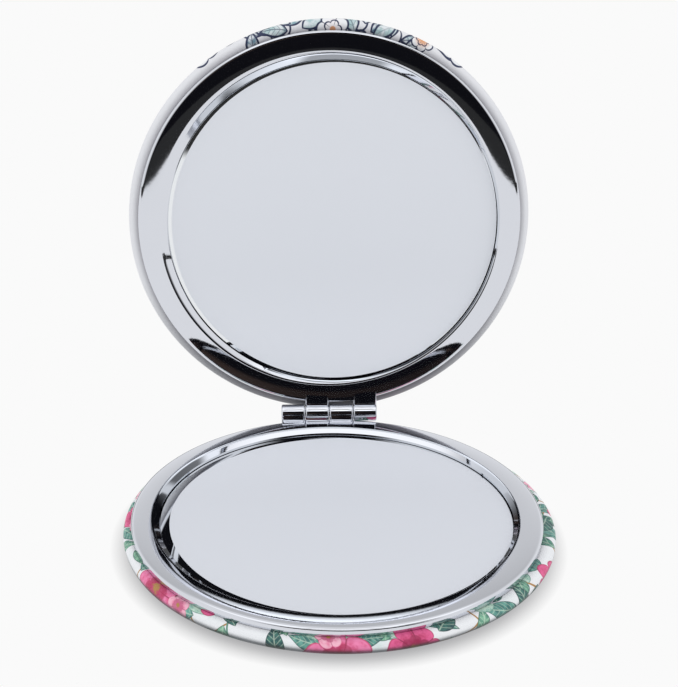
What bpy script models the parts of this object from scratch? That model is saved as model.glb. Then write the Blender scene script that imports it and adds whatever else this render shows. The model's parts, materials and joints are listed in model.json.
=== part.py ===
"""Round folding compact mirror: two chromed pans with glass mirrors, leather-covered backs and one hinge pin.

Each half is the same stack of turned pieces. Depths run from the mating plane, where the closed halves meet, outwards
to the leather face, so one set of sections serves the base and the lid. The hinge axis lies in the mating plane.
"""

import math

import bmesh
import bpy

MM = 0.001

# Layers of one half, from the mating plane outwards
MATING_GAP = 0.10 * MM
RECESS_DEPTH = 1.10 * MM
GLASS_THICKNESS = 1.10 * MM
BOND_GAP = 0.10 * MM
TAPE_THICKNESS = 0.20 * MM
SHEET_THICKNESS = 0.40 * MM
PLATE_THICKNESS = 0.30 * MM
PADDING_THICKNESS = 0.80 * MM
LEATHER_THICKNESS = 0.60 * MM

# Chromed frame
LIP_RADIUS = 33.30 * MM
LIP_HEIGHT = 0.93 * MM
LIP_ROUNDING = 0.42 * MM
BRIM_WIDTH = 3.50 * MM
CROWN_INSET = 2.70 * MM
BRIM_FALL = 0.26 * MM
INNER_ROUNDING = 1.50 * MM
BEVEL_RUN = 1.40 * MM
BEVEL_DROP = 0.85 * MM

# Mirror and its tape
MIRROR_CLEARANCE = 0.35 * MM
MIRROR_BEVEL = 0.25 * MM
TAPE_INSET = 1.50 * MM

# Leather cover, with its rounded rim and the hem turned in under the lip
COVER_BULGE = 1.70 * MM
COVER_EDGE_RUN = 6.00 * MM
HEM_WIDTH = 1.60 * MM
COVER_WIDEST_SHARE = 0.315

# Backing plate, a shallow tray whose wall holds the hem against the lip
PLATE_WALL_INSET = 0.10 * MM
PLATE_CORNER = 0.50 * MM
PADDING_CLEARANCE = 0.15 * MM

# Hinge
HINGE_GAP = 0.15 * MM
KNUCKLE_COUNT = 4
KNUCKLE_LENGTH = 4.15 * MM
KNUCKLE_GAP = 0.15 * MM
KNUCKLE_RADIUS = 1.55 * MM
PIN_RADIUS = 0.50 * MM
PIN_CLEARANCE = 0.08 * MM
PIN_CHAMFER = 0.10 * MM
WEB_ROOT = 2.00 * MM
WEB_STEP = 0.05 * MM
CUT_OVERRUN = 1.00 * MM
OPENING_DEG = 96.7

# Facets
TURN_STEPS = 56
BARREL_STEPS = 24
SMOOTH_ANGLE_DEG = 28.0
WELD_DISTANCE = 0.001 * MM

# Depths of the faces that the layers share
CROWN_DEPTH = MATING_GAP
MIRROR_TOP = CROWN_DEPTH + RECESS_DEPTH
MIRROR_BACK = MIRROR_TOP + GLASS_THICKNESS
TAPE_TOP = MIRROR_BACK + BOND_GAP
TAPE_BACK = TAPE_TOP + TAPE_THICKNESS
FLOOR_TOP = TAPE_BACK + BOND_GAP
FLOOR_BACK = FLOOR_TOP + SHEET_THICKNESS
PLATE_TOP = FLOOR_BACK + BOND_GAP
PLATE_BACK = PLATE_TOP + PLATE_THICKNESS
PADDING_TOP = PLATE_BACK + BOND_GAP
PADDING_BACK = PADDING_TOP + PADDING_THICKNESS
LEATHER_INSIDE = PADDING_BACK + BOND_GAP
HALF_THICKNESS = LEATHER_INSIDE + LEATHER_THICKNESS

# Radii and depths that the frame, the cover and the hinge share
LIP_BOTTOM = CROWN_DEPTH + LIP_HEIGHT
CROWN_RADIUS = LIP_RADIUS - CROWN_INSET
BRIM_INNER_RADIUS = LIP_RADIUS - BRIM_WIDTH
POCKET_RADIUS = BRIM_INNER_RADIUS - BEVEL_RUN
MIRROR_RADIUS = POCKET_RADIUS - MIRROR_CLEARANCE
COVER_RADIUS = LIP_RADIUS + COVER_BULGE
COVER_FLAT_RADIUS = COVER_RADIUS - COVER_EDGE_RUN
HEM_TOP = LIP_BOTTOM + BOND_GAP
HEM_BACK = HEM_TOP + LEATHER_THICKNESS
COVER_WIDEST_DEPTH = HEM_TOP + COVER_WIDEST_SHARE * (HALF_THICKNESS - HEM_TOP)
HINGE_OFFSET = COVER_RADIUS + HINGE_GAP
HINGE_WIDTH = KNUCKLE_COUNT * KNUCKLE_LENGTH + (KNUCKLE_COUNT - 1) * KNUCKLE_GAP


def arc(centre, radii, start_deg, end_deg, steps):
    """Points of an elliptical arc as (radius, depth), angle 0 outwards and 90 degrees towards the leather face."""
    points = []
    for step in range(steps + 1):
        angle = math.radians(start_deg + (end_deg - start_deg) * step / steps)
        points.append((centre[0] + radii[0] * math.cos(angle), centre[1] + radii[1] * math.sin(angle)))
    return points


def frame_section():
    """Pan floor, pocket wall, bevel, domed brim and rounded lip, then back along the underside of the same sheet."""
    bevel_deg = math.degrees(math.atan2(BEVEL_DROP, BEVEL_RUN))
    setback = INNER_ROUNDING * math.tan(math.radians(bevel_deg / 2))
    rounding_centre = (BRIM_INNER_RADIUS + setback, CROWN_DEPTH + INNER_ROUNDING)
    inner_edge = arc(rounding_centre, (INNER_ROUNDING, INNER_ROUNDING), -90 - bevel_deg, -90, 4)

    dome_run = LIP_RADIUS - LIP_ROUNDING - CROWN_RADIUS
    dome_radius = (dome_run**2 + BRIM_FALL**2) / (2 * BRIM_FALL)
    dome_deg = math.degrees(math.asin(dome_run / dome_radius))
    dome = arc((CROWN_RADIUS, CROWN_DEPTH + dome_radius), (dome_radius, dome_radius), -90, -90 + dome_deg, 5)

    lip_centre = (LIP_RADIUS - LIP_ROUNDING, CROWN_DEPTH + BRIM_FALL + LIP_ROUNDING)
    lip = arc(lip_centre, (LIP_ROUNDING, LIP_ROUNDING), -90 + dome_deg, 0, 4)

    slope = math.radians(bevel_deg)
    pocket_outside = POCKET_RADIUS + SHEET_THICKNESS
    bevel_underside = (
        CROWN_DEPTH + BEVEL_DROP + SHEET_THICKNESS / math.cos(slope) - SHEET_THICKNESS * math.tan(slope)
    )
    lip_inside = LIP_RADIUS - SHEET_THICKNESS
    brim_underside = CROWN_DEPTH + SHEET_THICKNESS
    lip_underside = CROWN_DEPTH + BRIM_FALL + SHEET_THICKNESS
    return [
        (0, FLOOR_TOP),
        (POCKET_RADIUS, FLOOR_TOP),
        (POCKET_RADIUS, CROWN_DEPTH + BEVEL_DROP),
        *inner_edge,
        *dome,
        *lip[1:],
        (LIP_RADIUS, LIP_BOTTOM),
        (lip_inside, LIP_BOTTOM),
        (lip_inside, lip_underside + (LIP_BOTTOM - lip_underside) / 2),
        (lip_centre[0], lip_underside),
        (CROWN_RADIUS, brim_underside),
        (BRIM_INNER_RADIUS + SHEET_THICKNESS * math.tan(slope / 2), brim_underside),
        (pocket_outside, bevel_underside),
        (pocket_outside, FLOOR_BACK),
        (0, FLOOR_BACK),
    ]


def mirror_section():
    """Float-glass disc with a ground bevel round its face."""
    return [
        (0, MIRROR_TOP),
        (MIRROR_RADIUS - MIRROR_BEVEL, MIRROR_TOP),
        (MIRROR_RADIUS, MIRROR_TOP + MIRROR_BEVEL),
        (MIRROR_RADIUS, MIRROR_BACK),
        (0, MIRROR_BACK),
    ]


def tape_section():
    """Double-sided tape disc that holds the glass in the pan."""
    tape_radius = MIRROR_RADIUS - TAPE_INSET
    return [(0, TAPE_TOP), (tape_radius, TAPE_TOP), (tape_radius, TAPE_BACK), (0, TAPE_BACK)]


def plate_section():
    """Tin tray: a flat disc with a low wall that stands up to just under the hem."""
    outside = LIP_RADIUS - PLATE_WALL_INSET
    inside = outside - PLATE_THICKNESS
    wall_top = HEM_BACK + BOND_GAP
    return [
        (0, PLATE_TOP),
        (inside, PLATE_TOP),
        (inside, wall_top),
        (outside, wall_top),
        (outside, PLATE_BACK - PLATE_CORNER),
        (outside - PLATE_CORNER, PLATE_BACK),
        (0, PLATE_BACK),
    ]


def padding_section():
    """Foam disc under the leather, its edge rounded to lie inside the cover's rim."""
    centre = (COVER_FLAT_RADIUS, COVER_WIDEST_DEPTH)
    across = COVER_EDGE_RUN - LEATHER_THICKNESS - PADDING_CLEARANCE
    down = PADDING_BACK - COVER_WIDEST_DEPTH
    top_deg = math.degrees(math.asin((PADDING_TOP - COVER_WIDEST_DEPTH) / down))
    return [(0, PADDING_TOP), *arc(centre, (across, down), top_deg, 90, 4), (0, PADDING_BACK)]


def cover_section():
    """Leather shell: hem, outer rim, flat face, then the inside of the same skin back to the hem's free edge."""
    rim_centre = (LIP_RADIUS, COVER_WIDEST_DEPTH)
    outer_upper = arc(rim_centre, (COVER_BULGE, COVER_WIDEST_DEPTH - HEM_TOP), -90, 0, 5)
    face_centre = (COVER_FLAT_RADIUS, COVER_WIDEST_DEPTH)
    outer_lower = arc(face_centre, (COVER_EDGE_RUN, HALF_THICKNESS - COVER_WIDEST_DEPTH), 0, 90, 7)
    inner_run = COVER_EDGE_RUN - LEATHER_THICKNESS
    inner_lower = arc(face_centre, (inner_run, LEATHER_INSIDE - COVER_WIDEST_DEPTH), 90, 0, 5)
    inner_bulge = COVER_BULGE - LEATHER_THICKNESS
    inner_upper = arc(rim_centre, (inner_bulge, COVER_WIDEST_DEPTH - HEM_BACK), 0, -90, 3)
    hem_edge = LIP_RADIUS - HEM_WIDTH
    return [
        (0, LEATHER_INSIDE),
        *inner_lower,
        *inner_upper[1:],
        (hem_edge, HEM_BACK),
        (hem_edge, HEM_TOP),
        *outer_upper,
        *outer_lower[1:],
        (0, HALF_THICKNESS),
    ]


def pin_section():
    """Hinge pin with chamfered ends, turned about its own length."""
    half_length = HINGE_WIDTH / 2
    return [
        (0, -half_length),
        (PIN_RADIUS - PIN_CHAMFER, -half_length),
        (PIN_RADIUS, -half_length + PIN_CHAMFER),
        (PIN_RADIUS, half_length - PIN_CHAMFER),
        (PIN_RADIUS - PIN_CHAMFER, half_length),
        (0, half_length),
    ]


def finish(name, colour, metallic, roughness):
    """Principled material with one colour."""
    material = bpy.data.materials.new(name)
    material.use_nodes = True
    shader = material.node_tree.nodes["Principled BSDF"]
    shader.inputs["Base Color"].default_value = (*colour, 1)
    shader.inputs["Metallic"].default_value = metallic
    shader.inputs["Roughness"].default_value = roughness
    material.diffuse_color = (*colour, 1)
    return material


def add_object(name, built, parent, location, material=None):
    """Object of a bmesh, welded, facing outwards, and shaded smooth across its shallow edges."""
    bmesh.ops.remove_doubles(built, verts=built.verts, dist=WELD_DISTANCE)
    bmesh.ops.recalc_face_normals(built, faces=built.faces)
    mesh = bpy.data.meshes.new(name)
    built.to_mesh(mesh)
    built.free()
    mesh.shade_smooth()
    mesh.set_sharp_from_angle(angle=math.radians(SMOOTH_ANGLE_DEG))
    obj = bpy.data.objects.new(name, mesh)
    bpy.context.scene.collection.objects.link(obj)
    obj.parent = parent
    obj.location = location
    if material:
        mesh.materials.append(material)
    return obj


def turned(section, side, steps):
    """Solid of revolution about Z. Side -1 lays the depths downwards, as in the base, and 1 upwards, as in the lid."""
    built = bmesh.new()
    points = [built.verts.new((radius, 0, side * depth)) for radius, depth in section]
    edges = [built.edges.new(pair) for pair in zip(points, points[1:])]
    bmesh.ops.spin(
        built, geom=points + edges, axis=(0, 0, 1), cent=(0, 0, 0), angle=math.tau, steps=steps, use_merge=True
    )
    return built


def knuckle(side, left):
    """One barrel with its web, drawn across the hinge axis and extruded along it from the place given by left."""
    web_top = CROWN_DEPTH + BRIM_FALL + WEB_STEP
    web_bottom = LIP_BOTTOM - WEB_STEP
    top_deg = 180 + math.degrees(math.asin(web_top / KNUCKLE_RADIUS))
    bottom_deg = -180 + math.degrees(math.asin(web_bottom / KNUCKLE_RADIUS))
    root = LIP_RADIUS - WEB_ROOT - HINGE_OFFSET
    barrel = []
    for step in range(BARREL_STEPS + 1):
        angle = math.radians(top_deg + (bottom_deg - top_deg) * step / BARREL_STEPS)
        barrel.append((KNUCKLE_RADIUS * math.cos(angle), KNUCKLE_RADIUS * math.sin(angle)))
    outline = [(root, -web_top), *barrel, (root, -web_bottom)]
    built = bmesh.new()
    corners = [built.verts.new((left, across, -side * up)) for across, up in outline]
    face = built.faces.new(corners)
    grown = bmesh.ops.extrude_face_region(built, geom=[face])["geom"]
    bmesh.ops.translate(
        built, verts=[part for part in grown if isinstance(part, bmesh.types.BMVert)], vec=(KNUCKLE_LENGTH, 0, 0)
    )
    return built


def bore(parent):
    """Cutter for the hole that the hinge pin runs in."""
    half_length = HINGE_WIDTH / 2 + CUT_OVERRUN
    radius = PIN_RADIUS + PIN_CLEARANCE
    section = [(0, -half_length), (radius, -half_length), (radius, half_length), (0, half_length)]
    cutter = add_object(parent.name + "_bore", turned(section, 1, BARREL_STEPS), parent, (0, 0, 0))
    cutter.rotation_euler.y = math.pi / 2
    return cutter


def combine(obj, other, operation):
    """Boolean on obj with a helper that the render leaves out."""
    modifier = obj.modifiers.new(other.name, "BOOLEAN")
    modifier.operation = operation
    modifier.object = other
    other.hide_render = True
    other.display_type = "WIRE"


def build_half(name, side, opening_deg, first_knuckle, finishes):
    """All pieces of the base or the lid, on an empty that lies on the hinge axis."""
    axis = bpy.data.objects.new(name, None)
    bpy.context.scene.collection.objects.link(axis)
    axis.location = (0, HINGE_OFFSET, HALF_THICKNESS)
    axis.rotation_euler.x = -math.radians(opening_deg)
    centre = (0, -HINGE_OFFSET, 0)
    for piece, section in (
        ("cover", cover_section()),
        ("padding", padding_section()),
        ("backing_plate", plate_section()),
        ("mirror_tape", tape_section()),
        ("mirror", mirror_section()),
    ):
        add_object(f"{name}_{piece}", turned(section, side, TURN_STEPS), axis, centre, finishes[piece])
    frame = add_object(
        f"{name}_frame", turned(frame_section(), side, TURN_STEPS), axis, centre, finishes["frame"]
    )
    for index in range(first_knuckle, KNUCKLE_COUNT, 2):
        left = index * (KNUCKLE_LENGTH + KNUCKLE_GAP) - HINGE_WIDTH / 2
        barrel = add_object(f"{name}_knuckle_{index + 1}", knuckle(side, left), axis, (0, 0, 0))
        combine(frame, barrel, "UNION")
    combine(frame, bore(axis), "DIFFERENCE")
    return axis


def build():
    for obj in list(bpy.data.objects):
        bpy.data.objects.remove(obj)
    shared = {
        "frame": finish("chrome", (0.80, 0.81, 0.84), 1.0, 0.06),
        "mirror": finish("silvered_glass", (0.66, 0.69, 0.74), 1.0, 0.02),
        "mirror_tape": finish("foam_tape", (0.85, 0.85, 0.82), 0.0, 0.8),
        "backing_plate": finish("tin_plate", (0.62, 0.63, 0.65), 1.0, 0.3),
        "padding": finish("foam", (0.78, 0.77, 0.73), 0.0, 0.95),
    }
    base_cover = finish("floral_leather", (0.86, 0.62, 0.70), 0.0, 0.45)
    lid_cover = finish("line_print_leather", (0.82, 0.86, 0.88), 0.0, 0.45)
    base = build_half("base", -1, 0.0, 0, {**shared, "cover": base_cover})
    build_half("lid", 1, OPENING_DEG, 1, {**shared, "cover": lid_cover})
    pin = add_object(
        "hinge_pin", turned(pin_section(), 1, BARREL_STEPS), base, (0, 0, 0), finish("steel", (0.6, 0.6, 0.6), 1.0, 0.2)
    )
    pin.rotation_euler.y = math.pi / 2


build()
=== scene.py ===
# %% [markdown]
# # A round compact mirror, dressed
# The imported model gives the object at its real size: two chromed pans with glass mirrors, leather backs and
# one hinge. This script adds what makes it look real. Each cell builds one thing and prints what it made.

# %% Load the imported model
import json
import math

import bmesh
import bpy
from mathutils import Matrix, Vector


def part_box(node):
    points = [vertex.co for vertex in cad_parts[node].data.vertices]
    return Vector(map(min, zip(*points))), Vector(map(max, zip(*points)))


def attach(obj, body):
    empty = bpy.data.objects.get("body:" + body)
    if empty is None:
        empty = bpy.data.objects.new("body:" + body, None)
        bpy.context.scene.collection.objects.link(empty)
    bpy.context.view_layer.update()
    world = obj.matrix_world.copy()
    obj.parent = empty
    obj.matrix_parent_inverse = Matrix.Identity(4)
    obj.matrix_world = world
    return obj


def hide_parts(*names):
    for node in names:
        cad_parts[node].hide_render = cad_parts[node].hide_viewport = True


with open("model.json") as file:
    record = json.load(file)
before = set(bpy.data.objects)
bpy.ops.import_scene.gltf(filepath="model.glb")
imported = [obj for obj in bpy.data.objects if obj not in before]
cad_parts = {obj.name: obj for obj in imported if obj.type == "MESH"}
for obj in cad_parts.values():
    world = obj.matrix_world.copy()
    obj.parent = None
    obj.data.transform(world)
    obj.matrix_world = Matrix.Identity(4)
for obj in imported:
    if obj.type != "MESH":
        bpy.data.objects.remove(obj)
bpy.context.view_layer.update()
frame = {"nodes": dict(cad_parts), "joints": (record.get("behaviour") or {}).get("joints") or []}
MM = 0.001
print("CAD nodes:", ", ".join(sorted(frame["nodes"])))

# %% [markdown]
# ## Where the two halves are
# Base and lid are the same disc. Depths run from the plane where the closed halves meet, outwards to the
# leather, so a section is drawn once and used twice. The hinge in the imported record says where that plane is:
# it lies flat for the base, and for the lid it is turned back about the pin by the opening angle.

# %% Places of the base and the lid
hinge = frame["joints"][0]
PIN = Vector(hinge["pos_m"])
OPENING_DEG = -hinge["range_deg"][0]
BASE_PLACE = Matrix.Translation((0, 0, PIN.z))
LID_TURN = Matrix.Rotation(-math.radians(OPENING_DEG), 4, "X")
LID_PLACE = Matrix.Translation(PIN) @ LID_TURN @ Matrix.Translation((0, -PIN.y, 0))
HALVES = {"base": (-1, BASE_PLACE), "lid": (1, LID_PLACE)}

cover_low, cover_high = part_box("base_cover")
glass_low, glass_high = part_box("base_mirror")
COVER_RADIUS = (cover_high.x - cover_low.x) / 2 / MM
HALF_THICKNESS = PIN.z / MM
GLASS_RADIUS = (glass_high.x - glass_low.x) / 2 / MM
GLASS_TOP = (PIN.z - glass_high.z) / MM
GLASS_BACK = (PIN.z - glass_low.z) / MM
print(f"cover {COVER_RADIUS * 2:.1f} mm across, glass {GLASS_RADIUS * 2:.1f} mm, open {OPENING_DEG:.1f} deg")

# %% [markdown]
# ## The camera
# The circles of both halves, seen as ellipses, fix the camera: it stands 0.3 m away and looks down by 25
# degrees with a long lens. Blender's sensor width belongs to the longer side of the picture, which here is
# the height.

# %% Camera
CAMERA_TARGET = Vector((0.95, 21.70, 25.10)) * MM
CAMERA_AZIMUTH_DEG = -2.85
CAMERA_ELEVATION_DEG = 24.93
CAMERA_DISTANCE = 299.9 * MM
CAMERA_ROLL_DEG = 0.83
CAMERA_LENS_MM = 93.3
CAMERA_CLIP_START = 10 * MM


def look(azimuth_deg, elevation_deg, roll_deg):
    """Direction back to a camera at this azimuth and elevation, and the camera's axes."""
    azimuth, elevation = math.radians(azimuth_deg), math.radians(elevation_deg)
    across = math.cos(elevation)
    back = Vector((math.sin(azimuth) * across, -math.cos(azimuth) * across, math.sin(elevation)))
    right = Vector((math.cos(azimuth), math.sin(azimuth), 0))
    axes = Matrix((right, back.cross(right), back)).transposed()
    return back, axes @ Matrix.Rotation(math.radians(roll_deg), 3, "Z")


camera_back, camera_axes = look(CAMERA_AZIMUTH_DEG, CAMERA_ELEVATION_DEG, CAMERA_ROLL_DEG)
camera_data = bpy.data.cameras.new("camera")
camera_data.lens = CAMERA_LENS_MM
camera_data.clip_start = CAMERA_CLIP_START
camera = bpy.data.objects.new("camera", camera_data)
bpy.context.scene.collection.objects.link(camera)
camera.matrix_world = Matrix.Translation(CAMERA_TARGET + CAMERA_DISTANCE * camera_back) @ camera_axes.to_4x4()
bpy.context.scene.camera = camera
bpy.context.scene.view_settings.view_transform = "Standard"
print("camera at", [round(value, 3) for value in camera.location])

# %% [markdown]
# ## Shader maths that reads like maths
# A material is a graph, but a formula is easier to read than forty links. The class below wraps one output
# socket, so that adding, multiplying or comparing two of them adds the Math node. Noise, bump and the parts
# of a vector are used all the time, so they have methods too, and any other node comes from one method.


# %% Sockets with operators
class Wire:
    """An output socket of a node tree that takes part in Python arithmetic."""

    def __init__(self, tree, socket=None):
        self.tree = tree
        self.socket = socket

    def node(self, kind, sockets=(), output=0, **settings):
        """Adds a node: settings come first, then sockets, and one of its outputs comes back wrapped."""
        made = self.tree.nodes.new(kind)
        for name, value in settings.items():
            setattr(made, name, value)
        for key, value in dict(sockets).items():
            self.connect(made.inputs[key], value)
        return Wire(self.tree, made.outputs[output] if len(made.outputs) else None)

    def connect(self, socket, value):
        """Links a wire to the socket, or sets the socket to a plain value."""
        if isinstance(value, Wire):
            self.tree.links.new(value.socket, socket)
        elif socket.type == "RGBA":
            socket.default_value = (*value, 1)
        else:
            socket.default_value = value

    def other(self, output):
        """Another output of the same node."""
        return Wire(self.tree, self.socket.node.outputs[output])

    def maths(self, operation, *values):
        return self.node("ShaderNodeMath", dict(enumerate(values)), operation=operation)

    def __add__(self, value):
        return self.maths("ADD", self, value)

    def __radd__(self, value):
        return self.maths("ADD", value, self)

    def __sub__(self, value):
        return self.maths("SUBTRACT", self, value)

    def __rsub__(self, value):
        return self.maths("SUBTRACT", value, self)

    def __mul__(self, value):
        return self.maths("MULTIPLY", self, value)

    def __rmul__(self, value):
        return self.maths("MULTIPLY", value, self)

    def __truediv__(self, value):
        return self.maths("DIVIDE", self, value)

    def __abs__(self):
        return self.maths("ABSOLUTE", self)

    def step(self, low, high):
        """0 below low, 1 above high, and a smooth rise between; low and high may be turned round."""
        sockets = {"Value": self, "From Min": low, "From Max": high}
        return self.node("ShaderNodeMapRange", sockets, interpolation_type="SMOOTHSTEP")

    def mix(self, factor, first, second, blend="MIX"):
        """Colour that goes from first to second as factor goes from 0 to 1."""
        sockets = {0: factor, 6: first, 7: second}
        return self.node("ShaderNodeMix", sockets, output=2, data_type="RGBA", blend_type=blend)

    def vector(self, operation, *values, output=0):
        """Vector maths on this vector and further ones."""
        sockets = dict(enumerate((self, *values)))
        return self.node("ShaderNodeVectorMath", sockets, output=output, operation=operation)

    def axis(self, name):
        """One coordinate of this vector; the other two come from other()."""
        return self.node("ShaderNodeSeparateXYZ", {"Vector": self}, output=name)

    def noise(self, scale, detail):
        """Soft noise at this place: scale is the number of clouds in one unit, detail adds finer ones."""
        return self.node("ShaderNodeTexNoise", {"Vector": self, "Scale": scale, "Detail": detail})

    def bump(self, depth, strength):
        """Normal of a surface whose height is this wire, 1 standing for depth."""
        return self.node("ShaderNodeBump", {"Strength": strength, "Distance": depth, "Height": self})


def new_material(name, metallic=0.0, roughness=0.5, **sockets):
    """A material, its Principled shader, and the wire that its nodes start from."""
    material = bpy.data.materials.new(name)
    material.use_nodes = True
    shader = material.node_tree.nodes["Principled BSDF"]
    shader.inputs["Metallic"].default_value = metallic
    shader.inputs["Roughness"].default_value = roughness
    for key, value in sockets.items():
        shader.inputs[key.replace("_", " ")].default_value = value
    return material, shader, Wire(material.node_tree)


def own_place(wire):
    """Where a point lies on its own object: in metres, once the piece is settled."""
    return wire.node("ShaderNodeTexCoord", output="Object")


def dimmed(colour, share):
    """A colour with each of its parts times share."""
    return tuple(share * part for part in colour)


print("shader maths ready")

# %% [markdown]
# ## Light
# The photograph is high key: a white tent lights the object evenly, so colours stay as they are. What gives
# chrome its form is the opening at the front of that tent, with a dark room behind it. A world shader can
# hold both: it turns the direction of a ray into an azimuth and an elevation, and blends from tent to room at
# soft edges. A dark panel at the right, a seam above the lamp and a dim strip low down at the back give the
# bevels their darker stretches.

# %% The tent and its opening
BACKGROUND = 0.956
TENT = (0.985, 0.99, 1.0)
TENT_LIGHT = 0.95
TENT_TOP = 1.40
TENT_TOP_DEG = (46, 58)
TENT_BACK = 0.66
TENT_BACK_DEG = (18, 40)
TENT_BACK_SIDES_DEG = (100, 140)
ROOM_BLACK = (0.006, 0.006, 0.008)
ROOM_BROWN = (0.050, 0.034, 0.028)
ROOM_BROWN_DEG = (16, 19, 24, 28)
ROOM_BROWN_SIDE_DEG = (5, -7)
ROOM_BROWN_LEAST = 0.35
LAMP = 1.45
LAMP_DEG = (49.6, 51, 57, 61)
LAMP_SIDES_DEG = (14, 24)
OPENING_MIDDLE_DEG = 4
OPENING_SIDES_DEG = (28, 56)
OPENING_TOP_DEG = (47.6, 49.2)
OPENING_FLAT_DEG = 12
OPENING_RISE = -0.35
OPENING_SHADE = 0.08
PANEL = 0.8
PANEL_DEG = (36, 43, 62, 70)
PANEL_RISE_DEG = (43, 46, 57, 60)
STRIPE = 0.42
STRIPE_DEG = (60, 63, 72, 75)
STRIPE_SIDES_DEG = (30, 45)
LOW_BACK = 0.10
LOW_BACK_DEG = (11, 7)
LOW_BACK_SIDES_DEG = (135, 150)

world = bpy.data.worlds.new("white tent")
bpy.context.scene.world = world
world.use_nodes = True
world.node_tree.nodes.clear()
sky = Wire(world.node_tree)
sideways = sky.node("ShaderNodeTexCoord", output="Generated").axis("X")
azimuth = math.degrees(1) * sky.maths("ARCTAN2", sideways, -1.0 * sideways.other("Y"))
elevation = math.degrees(1) * sky.maths("ARCSINE", sideways.other("Z"))
aside = abs(azimuth - OPENING_MIDDLE_DEG)
above = elevation - OPENING_RISE * sky.maths("MAXIMUM", aside - OPENING_FLAT_DEG, 0)


def band(value, low, low_full, high_full, high):
    """1 between low_full and high_full, and 0 outside low and high."""
    return value.step(low, low_full) * (1 - value.step(high_full, high))


brown_side = ROOM_BROWN_LEAST + (1 - ROOM_BROWN_LEAST) * azimuth.step(*ROOM_BROWN_SIDE_DEG)
room = sky.mix(band(elevation, *ROOM_BROWN_DEG) * brown_side, ROOM_BLACK, ROOM_BROWN)
opening = (1 - aside.step(*OPENING_SIDES_DEG)) * (1 - above.step(*OPENING_TOP_DEG))
opening = sky.maths("MAXIMUM", opening, PANEL * band(azimuth, *PANEL_DEG) * band(elevation, *PANEL_RISE_DEG))
TENT_PARTS = (
    (TENT_TOP, elevation.step(*TENT_TOP_DEG)),
    (LAMP, band(elevation, *LAMP_DEG) * (1 - aside.step(*LAMP_SIDES_DEG))),
    (TENT_BACK, aside.step(*TENT_BACK_SIDES_DEG) * elevation.step(*TENT_BACK_DEG)),
    (LOW_BACK, aside.step(*LOW_BACK_SIDES_DEG) * elevation.step(*LOW_BACK_DEG)),
    (STRIPE, band(elevation, *STRIPE_DEG) * (1 - aside.step(*STRIPE_SIDES_DEG))),
)
level = BACKGROUND
for gain, part in TENT_PARTS:
    level = level * (1 + (gain - 1) * part)
print("opening in front, up to", OPENING_TOP_DEG[0], "degrees, in a tent of", len(TENT_PARTS), "parts")

# %% [markdown]
# The same world plays three roles. The camera sees one even white, polished pieces see the tent with its
# opening, and matt pieces are lit by soft white light, a little weaker from where the opening is.

# %% World
ray = sky.node("ShaderNodeLightPath", output="Is Camera Ray")
mirrored = sky.maths("MAXIMUM", ray.other("Is Glossy Ray"), ray.other("Is Transmission Ray"))
reflected = sky.mix(opening, sky.node("ShaderNodeCombineXYZ", {"X": level, "Y": level, "Z": level}), room)
lit_strength = TENT_LIGHT * (1 - OPENING_SHADE * opening)
lit = sky.node("ShaderNodeBackground", {"Color": TENT, "Strength": lit_strength})
shown = sky.node("ShaderNodeBackground", {"Color": sky.mix(ray, reflected, (BACKGROUND,) * 3)})
both = sky.node("ShaderNodeMixShader", {0: sky.maths("MAXIMUM", ray, mirrored), 1: lit, 2: shown})
sky.node("ShaderNodeOutputWorld", {"Surface": both})
print("world: white tent, strength", TENT_LIGHT)

# %% [markdown]
# A softbox hangs over the object and gives the leather a side that is a little brighter than the other.
# Chrome doesn't see it: a small lamp would draw a hard square there, and the tent's bright top already draws
# the soft white lines.

# %% Softbox
SOFTBOX_SIDE = 0.60
SOFTBOX_PLACE = Vector((-0.15, -0.10, 1.00))
SOFTBOX_RADIANCE = 0.8

softbox_data = bpy.data.lights.new("softbox", "AREA")
softbox_data.size = SOFTBOX_SIDE
softbox_data.energy = SOFTBOX_RADIANCE * math.pi * SOFTBOX_SIDE**2
softbox = bpy.data.objects.new("softbox", softbox_data)
bpy.context.scene.collection.objects.link(softbox)
aim = (SOFTBOX_PLACE - PIN).to_track_quat("Z", "Y").to_matrix().to_4x4()
softbox.matrix_world = Matrix.Translation(SOFTBOX_PLACE) @ aim
softbox.visible_glossy = False
print("softbox", round(softbox_data.energy, 2), "W")

# %% [markdown]
# ## From a mesh to a piece
# Meshes are built in millimetres and in the frame of their own half, because that is how the sections are
# drawn. A finished piece is baked to metres and told which body it moves with and which CAD nodes it replaces.

# %% Helpers that put meshes into the scene
SHARP_DEG = 35
SHARP_GLASS_DEG = 20
SHARP_SOFT_DEG = 50


def add_mesh(name, built, place=None, material=None, smooth_deg=SHARP_DEG):
    """An object of a bmesh in millimetres, facing outwards, smooth but for edges sharper than smooth_deg."""
    bmesh.ops.recalc_face_normals(built, faces=built.faces)
    mesh = bpy.data.meshes.new(name)
    built.to_mesh(mesh)
    built.free()
    mesh.shade_smooth()
    mesh.set_sharp_from_angle(angle=math.radians(smooth_deg))
    if material:
        mesh.materials.append(material)
    made = bpy.data.objects.new(name, mesh)
    bpy.context.scene.collection.objects.link(made)
    made.matrix_world = (place or Matrix()) @ Matrix.Scale(MM, 4)
    return made


def settle(made, body, slot, *nodes):
    """Bakes a piece's millimetres into its mesh, ties it to its body and hides the nodes it replaces; slot is
    not used.
    """
    made.data.transform(made.matrix_world)
    made.matrix_world = Matrix()
    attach(made, body)
    if nodes:
        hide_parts(*nodes)
    print(f"{made.name}: {len(made.data.vertices)} vertices on {body}")
    return made


print("edges above", SHARP_DEG, "degrees stay sharp on metal")

# %% [markdown]
# ## The table
# The white table runs out of the picture on all sides. To the camera and to the chrome it is as white as the
# sky, so no horizon shows, and close round the object it keeps a soft contact shadow. Chrome sees it end in
# the dark half a metre in front, where the opening of the tent begins.

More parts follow.
